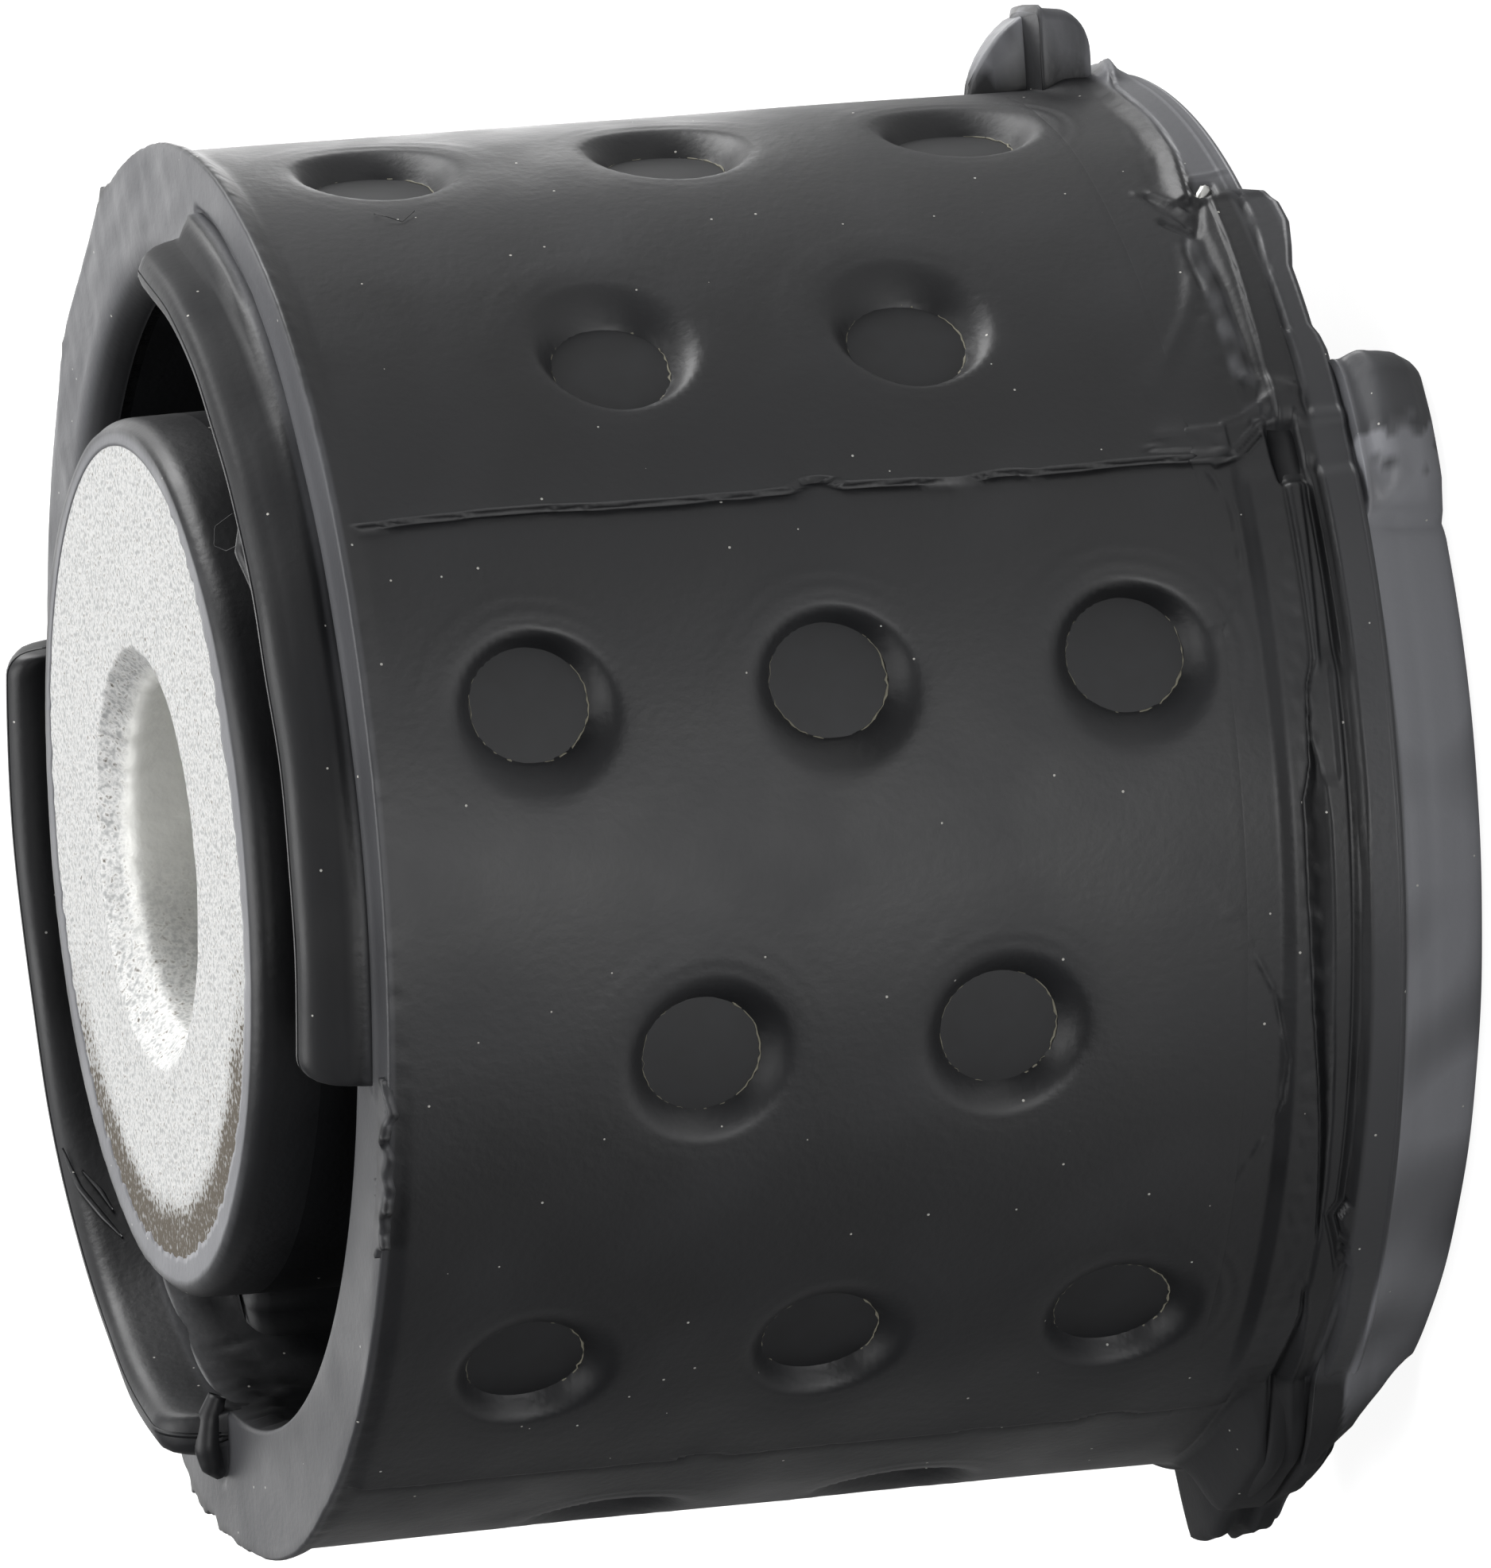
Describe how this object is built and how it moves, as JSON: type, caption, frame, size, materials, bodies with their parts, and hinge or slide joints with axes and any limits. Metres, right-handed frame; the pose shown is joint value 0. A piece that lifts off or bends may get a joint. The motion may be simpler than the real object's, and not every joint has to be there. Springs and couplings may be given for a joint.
{
  "type": "subframe bushing",
  "caption": "Rubber-to-metal subframe bushing: cast inner sleeve on two rubber arms, dimpled outer coat, curved bump stops at both ends and a flanged, lugged rear rim.",
  "frame": {"origin": "on the bushing's axis, in the plane of the rear bump stops' faces and of the inner sleeve's rear face", "axes": "+Z along the axis, from the flanged rear end to the front end; +Y towards the keying lug, -Y towards the ear"},
  "size_m": [0.0608, 0.067, 0.0503],
  "materials": {
    "cast_aluminium": "sand-blasted casting",
    "sleeve_steel": "primed for bonding, bare at one nick",
    "black_rubber": "moulded, matt"
  },
  "bodies": {
    "root": {"inner_sleeve": "cast_aluminium", "outer_sleeve": "sleeve_steel", "rubber_body": "black_rubber"}
  },
  "joints": []
}
